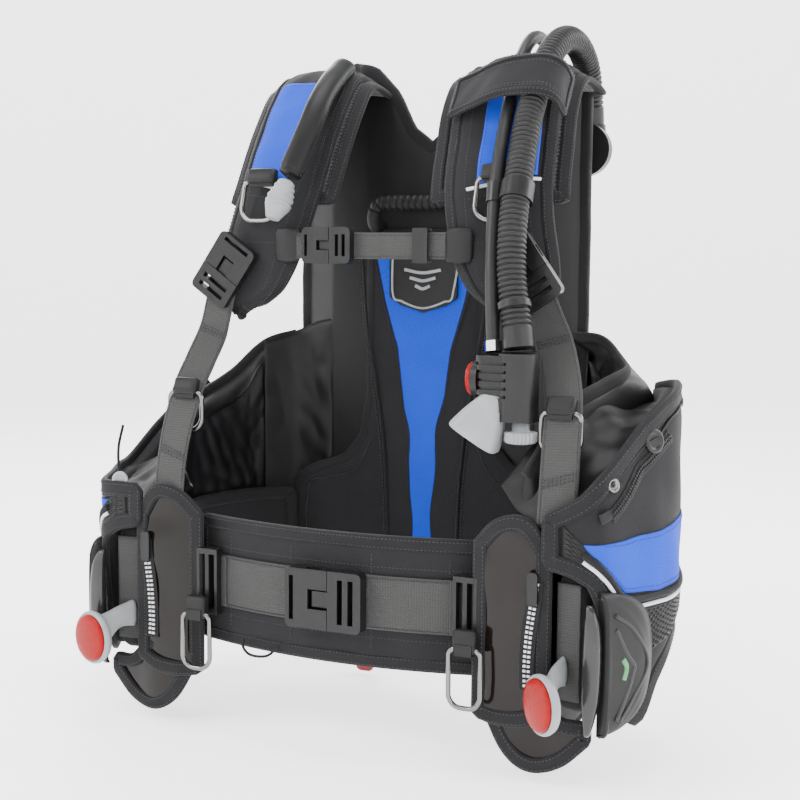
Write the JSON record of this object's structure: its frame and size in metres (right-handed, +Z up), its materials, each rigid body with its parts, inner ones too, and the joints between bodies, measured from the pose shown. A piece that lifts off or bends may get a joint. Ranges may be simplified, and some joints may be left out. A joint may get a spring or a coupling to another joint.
{
  "type": "buoyancy compensator vest",
  "caption": "Jacket-style scuba buoyancy vest with tank band, hoses, inflator, weight pouches, cummerbund and shoulder straps.",
  "frame": {"origin": "centre of the tank band's ring", "axes": "+Z up along the tank's axis, -Y towards the wearer's front, +X to the wearer's left"},
  "size_m": [0.564, 0.5087, 0.6648],
  "materials": {
    "cordura": "coarse black woven nylon, matte",
    "shell_nylon": "fine black coated nylon, soft sheen",
    "coated_fabric": "brown-black coated fabric, glossy",
    "webbing": "dark grey ribbed polyester webbing",
    "moulded_black": "black moulded nylon, satin",
    "grey_plastic": "silver-grey moulded plastic",
    "red_plastic": "bright red gloss plastic",
    "dark_red_plastic": "dark red plastic",
    "rubber_trim": "soft black rubber",
    "hose_rubber": "black hose rubber, satin",
    "steel_wire": "stainless wire, polished",
    "chrome_metal": "plated brass, bright",
    "zip_teeth": "silver moulded zip teeth"
  },
  "bodies": {
    "vest": {"air_cell_back": "cordura", "air_cell_wing_left": "shell_nylon", "air_cell_wing_right": "shell_nylon", "back_pad": "cordura", "back_plate": "moulded_black", "badge": "rubber_trim", "cam_buckle": "moulded_black", "cargo_pocket_left": "cordura", "cargo_pocket_right": "cordura", "carry_handle": "rubber_trim", "chest_buckle_female": "moulded_black", "chest_webbing": "webbing", "corrugated_hose": "hose_rubber", "cummerbund": "cordura", "dump_sleeve": "cordura", "hose_clips": "moulded_black", "hose_flap": "cordura", "hose_nut": "chrome_metal", "inflator_body": "moulded_black", "lp_fitting": "chrome_metal", "lp_hose": "hose_rubber", "mouthpiece": "grey_plastic", "pocket_fairings": "moulded_black", "pocket_front_panels": "coated_fabric", "pocket_zips": "zip_teeth", "rear_dump_valve": "moulded_black", "ring_tabs": "webbing", "shoulder_buckle_females": "moulded_black", "shoulder_elbow": "moulded_black", "shoulder_strap_left": "cordura", "shoulder_strap_right": "cordura", "shoulder_webbing": "webbing", "tank_band": "webbing", "tank_positioning_strap": "webbing", "waist_buckle_female": "moulded_black", "waist_webbing": "webbing", "webbing_sliders": "moulded_black"},
    "cam_lever": {"cam_lever": "moulded_black"},
    "weight_pouch_left": {"weight_pouch_left": "shell_nylon", "pouch_handle_left": "grey_plastic", "pouch_disc_left": "red_plastic"},
    "weight_pouch_right": {"weight_pouch_right": "shell_nylon", "pouch_handle_right": "grey_plastic", "pouch_disc_right": "red_plastic"},
    "waist_buckle_male": {"waist_buckle_male": "moulded_black"},
    "chest_buckle_male": {"chest_buckle_male": "moulded_black"},
    "shoulder_buckle_male_left": {"shoulder_buckle_male_left": "moulded_black"},
    "shoulder_buckle_male_right": {"shoulder_buckle_male_right": "moulded_black"},
    "shoulder_ring_left": {"shoulder_ring_left": "steel_wire"},
    "shoulder_ring_right": {"shoulder_ring_right": "steel_wire"},
    "waist_ring_left": {"waist_ring_left": "steel_wire"},
    "waist_ring_right": {"waist_ring_right": "steel_wire"},
    "accessory_ring_left": {"accessory_ring_left": "moulded_black"},
    "accessory_ring_right": {"accessory_ring_right": "moulded_black"},
    "inflate_button": {"inflate_button": "red_plastic"},
    "deflate_button": {"deflate_button": "grey_plastic"},
    "dump_knob": {"dump_knob": "grey_plastic"},
    "dump_tab": {"dump_tab": "dark_red_plastic"},
    "zip_pull_left": {"zip_pull_left": "moulded_black"},
    "zip_pull_right": {"zip_pull_right": "moulded_black"}
  },
  "joints": [
    {"name": "cam_lever_open", "type": "hinge", "parent": "vest", "child": "cam_lever", "pos_m": [-0.027, 0.1075, 0], "axis": [0, 0, 1], "range_deg": [0, 120]},
    {"name": "weight_pouch_left_pull", "type": "slide", "parent": "vest", "child": "weight_pouch_left", "axis": [-0.1702, -0.9854, 0], "range_m": [0, 0.125]},
    {"name": "weight_pouch_right_pull", "type": "slide", "parent": "vest", "child": "weight_pouch_right", "axis": [0.1702, -0.9854, 0], "range_m": [0, 0.125]},
    {"name": "waist_buckle_release", "type": "slide", "parent": "vest", "child": "waist_buckle_male", "axis": [1, 0, 0], "range_m": [0, 0.035]},
    {"name": "chest_buckle_release", "type": "slide", "parent": "vest", "child": "chest_buckle_male", "axis": [1, 0, 0], "range_m": [0, 0.025]},
    {"name": "shoulder_buckle_left_release", "type": "slide", "parent": "vest", "child": "shoulder_buckle_male_left", "axis": [0.5735, 0, -0.8192], "range_m": [0, 0.018]},
    {"name": "shoulder_buckle_right_release", "type": "slide", "parent": "vest", "child": "shoulder_buckle_male_right", "axis": [-0.5735, 0, -0.8192], "range_m": [0, 0.018]},
    {"name": "shoulder_ring_left_swing", "type": "hinge", "parent": "vest", "child": "shoulder_ring_left", "pos_m": [0.121, -0.2415, 0.196], "axis": [-1, 0, 0], "range_deg": [0, 2]},
    {"name": "shoulder_ring_right_swing", "type": "hinge", "parent": "vest", "child": "shoulder_ring_right", "pos_m": [-0.121, -0.2415, 0.196], "axis": [-1, 0, 0], "range_deg": [0, 75]},
    {"name": "waist_ring_left_swing", "type": "hinge", "parent": "vest", "child": "waist_ring_left", "pos_m": [0.135, -0.343, -0.208], "axis": [-1, 0, 0], "range_deg": [0, 85]},
    {"name": "waist_ring_right_swing", "type": "hinge", "parent": "vest", "child": "waist_ring_right", "pos_m": [-0.135, -0.343, -0.208], "axis": [-1, 0, 0], "range_deg": [0, 85]},
    {"name": "accessory_ring_left_swing", "type": "hinge", "parent": "vest", "child": "accessory_ring_left", "pos_m": [0.205, -0.307, -0.005], "axis": [-1, 0, 0], "range_deg": [0, 85]},
    {"name": "accessory_ring_right_swing", "type": "hinge", "parent": "vest", "child": "accessory_ring_right", "pos_m": [-0.168, -0.307, -0.005], "axis": [-1, 0, 0], "range_deg": [0, 85]},
    {"name": "inflate_button_press", "type": "slide", "parent": "vest", "child": "inflate_button", "axis": [1, 0, 0], "range_m": [0, 0.003], "stiffness_N_per_m": 800, "springref_m": -0.001},
    {"name": "deflate_button_press", "type": "slide", "parent": "vest", "child": "deflate_button", "axis": [0, 0, 1], "range_m": [0, 0.003], "stiffness_N_per_m": 800, "springref_m": -0.001},
    {"name": "dump_knob_pull", "type": "slide", "parent": "vest", "child": "dump_knob", "axis": [-0.1794, -0.4037, -0.8971], "range_m": [0, 0.017], "stiffness_N_per_m": 300, "springref_m": -0.002},
    {"name": "dump_tab_pull", "type": "slide", "parent": "vest", "child": "dump_tab", "axis": [0, 0, -1], "range_m": [0, 0.015], "stiffness_N_per_m": 300, "springref_m": -0.002},
    {"name": "zip_left_close", "type": "slide", "parent": "vest", "child": "zip_pull_left", "axis": [0, 0, -1], "range_m": [0, 0.07]},
    {"name": "zip_right_close", "type": "slide", "parent": "vest", "child": "zip_pull_right", "axis": [0, 0, -1], "range_m": [0, 0.07]}
  ]
}
